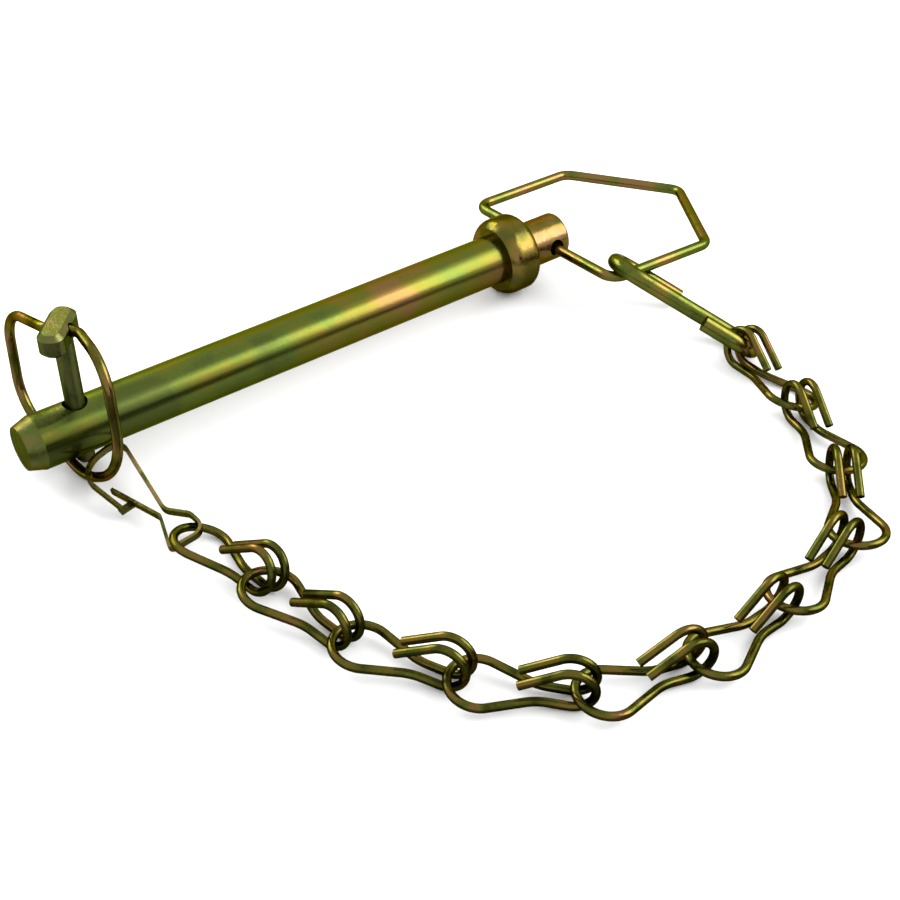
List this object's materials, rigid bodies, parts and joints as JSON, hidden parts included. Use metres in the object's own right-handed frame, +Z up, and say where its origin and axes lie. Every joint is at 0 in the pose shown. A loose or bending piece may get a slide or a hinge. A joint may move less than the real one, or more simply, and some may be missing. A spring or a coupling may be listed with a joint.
{
  "type": "swivel hitch pin",
  "caption": "Steel drawbar pin with a collar and a swinging wire handle, and a linch pin kept on it by a snap connector, a double-hook chain and an S-hook.",
  "frame": {"origin": "on the pin's axis, at its collar's bearing face", "axes": "+X along the pin from the bearing face to the head, +Y across it to the far side, +Z up from the surface it lies on"},
  "size_m": [0.246, 0.2074, 0.0471],
  "materials": {
    "plated_forging": "yellow passivated zinc over a forged and turned surface",
    "plated_rod": "yellow passivated zinc over drawn wire",
    "plated_strip": "yellow passivated zinc over spring strip",
    "plated_chain": "yellow passivated zinc over drawn wire"
  },
  "bodies": {
    "hitch_pin": {"hitch_pin": "plated_forging"},
    "handle": {"handle": "plated_rod"},
    "linch_pin": {"linch_pin": "plated_forging"},
    "linch_ring": {"linch_ring": "plated_rod"},
    "snap_connector": {"snap_connector": "plated_strip"},
    "s_hook": {"s_hook": "plated_rod"},
    "chain_link_01": {"chain_link_01": "plated_chain"},
    "chain_link_02": {"chain_link_02": "plated_chain"},
    "chain_link_03": {"chain_link_03": "plated_chain"},
    "chain_link_04": {"chain_link_04": "plated_chain"},
    "chain_link_05": {"chain_link_05": "plated_chain"},
    "chain_link_06": {"chain_link_06": "plated_chain"},
    "chain_link_07": {"chain_link_07": "plated_chain"},
    "chain_link_08": {"chain_link_08": "plated_chain"},
    "chain_link_09": {"chain_link_09": "plated_chain"},
    "chain_link_10": {"chain_link_10": "plated_chain"}
  },
  "joints": [
    {"name": "handle_swing", "type": "hinge", "parent": "hitch_pin", "child": "handle", "pos_m": [0.021, 0, -0.0006], "axis": [0.0019, -0.9973, 0.0732], "range_deg": [-3, 12]},
    {"name": "s_hook_swing", "type": "hinge", "parent": "handle", "child": "s_hook", "pos_m": [0.02946, -0.03467, 0.00172], "axis": [0.0019, -0.9973, 0.0732], "range_deg": [-10.98, 2.74]},
    {"name": "link_10_turn", "type": "hinge", "parent": "s_hook", "child": "chain_link_10", "pos_m": [0.03544, -0.07134, -0.00474], "axis": [0.6041, -0.0417, 0.7958], "range_deg": [-0.26, 1.06]},
    {"name": "link_09_turn", "type": "hinge", "parent": "chain_link_10", "child": "chain_link_09", "pos_m": [0.0326, -0.10079, -0.00936], "axis": [0.2689, 0.0449, 0.9621], "range_deg": [-4.46, 1.11]},
    {"name": "link_08_turn", "type": "hinge", "parent": "chain_link_09", "child": "chain_link_08", "pos_m": [0.02108, -0.12838, -0.00871], "axis": [0.0827, 0.0965, 0.9919], "range_deg": [-0.39, 1.57]},
    {"name": "link_07_turn", "type": "hinge", "parent": "chain_link_08", "child": "chain_link_07", "pos_m": [0.00185, -0.15254, -0.0084], "axis": [0.0615, 0.1237, 0.9904], "range_deg": [-0.61, 2.44]},
    {"name": "link_06_turn", "type": "hinge", "parent": "chain_link_07", "child": "chain_link_06", "pos_m": [-0.02827, -0.15893, -0.00873], "axis": [0.1036, 0.0751, 0.9918], "range_deg": [-0.92, 3.68]},
    {"name": "link_05_turn", "type": "hinge", "parent": "chain_link_06", "child": "chain_link_05", "pos_m": [-0.05865, -0.16198, -0.00905], "axis": [0.1066, -0.0349, 0.9937], "range_deg": [-5.05, 1.26]},
    {"name": "link_04_turn", "type": "hinge", "parent": "chain_link_05", "child": "chain_link_04", "pos_m": [-0.08807, -0.15529, -0.00895], "axis": [0.1036, -0.043, 0.9937], "range_deg": [-0.38, 1.54]},
    {"name": "link_03_turn", "type": "hinge", "parent": "chain_link_04", "child": "chain_link_03", "pos_m": [-0.11008, -0.13493, -0.00903], "axis": [0.0362, -0.1104, 0.9932], "range_deg": [-5.09, 1.27]},
    {"name": "link_02_turn", "type": "hinge", "parent": "chain_link_03", "child": "chain_link_02", "pos_m": [-0.12533, -0.1091, -0.0087], "axis": [0.1194, -0.0645, 0.9907], "range_deg": [-1.28, 5.12]},
    {"name": "link_01_turn", "type": "hinge", "parent": "chain_link_02", "child": "chain_link_01", "pos_m": [-0.133, -0.07984, -0.00832], "axis": [0.1673, -0.0895, 0.9818], "range_deg": [-0.81, 0.2]},
    {"name": "linch_pin_lift", "type": "slide", "parent": "hitch_pin", "child": "linch_pin", "axis": [0, 0, 1], "range_m": [-0.0003, 0.0003]},
    {"name": "ring_swing", "type": "hinge", "parent": "linch_pin", "child": "linch_ring", "pos_m": [-0.14411, 0.00042, 0.0309], "axis": [-0.4695, 0.8829, 0], "range_deg": [0, 1.2]},
    {"name": "connector_swing", "type": "hinge", "parent": "chain_link_01", "child": "snap_connector", "pos_m": [-0.13775, -0.05346, -0.0088], "axis": [0.3409, -0.0164, 0.94], "range_deg": [0, 1.17]}
  ],
  "couplings": [
    {"joint": "s_hook_swing", "follows": "handle_swing", "ratio": -0.91483},
    {"joint": "link_10_turn", "follows": "handle_swing", "ratio": 0.08825},
    {"joint": "link_09_turn", "follows": "handle_swing", "ratio": -0.37167},
    {"joint": "link_08_turn", "follows": "handle_swing", "ratio": 0.13107},
    {"joint": "link_07_turn", "follows": "handle_swing", "ratio": 0.20342},
    {"joint": "link_06_turn", "follows": "handle_swing", "ratio": 0.30697},
    {"joint": "link_05_turn", "follows": "handle_swing", "ratio": -0.42051},
    {"joint": "link_04_turn", "follows": "handle_swing", "ratio": 0.12821},
    {"joint": "link_03_turn", "follows": "handle_swing", "ratio": -0.42458},
    {"joint": "link_02_turn", "follows": "handle_swing", "ratio": 0.42701},
    {"joint": "link_01_turn", "follows": "handle_swing", "ratio": -0.067118},
    {"joint": "connector_swing", "follows": "ring_swing", "ratio": 0.97556}
  ]
}
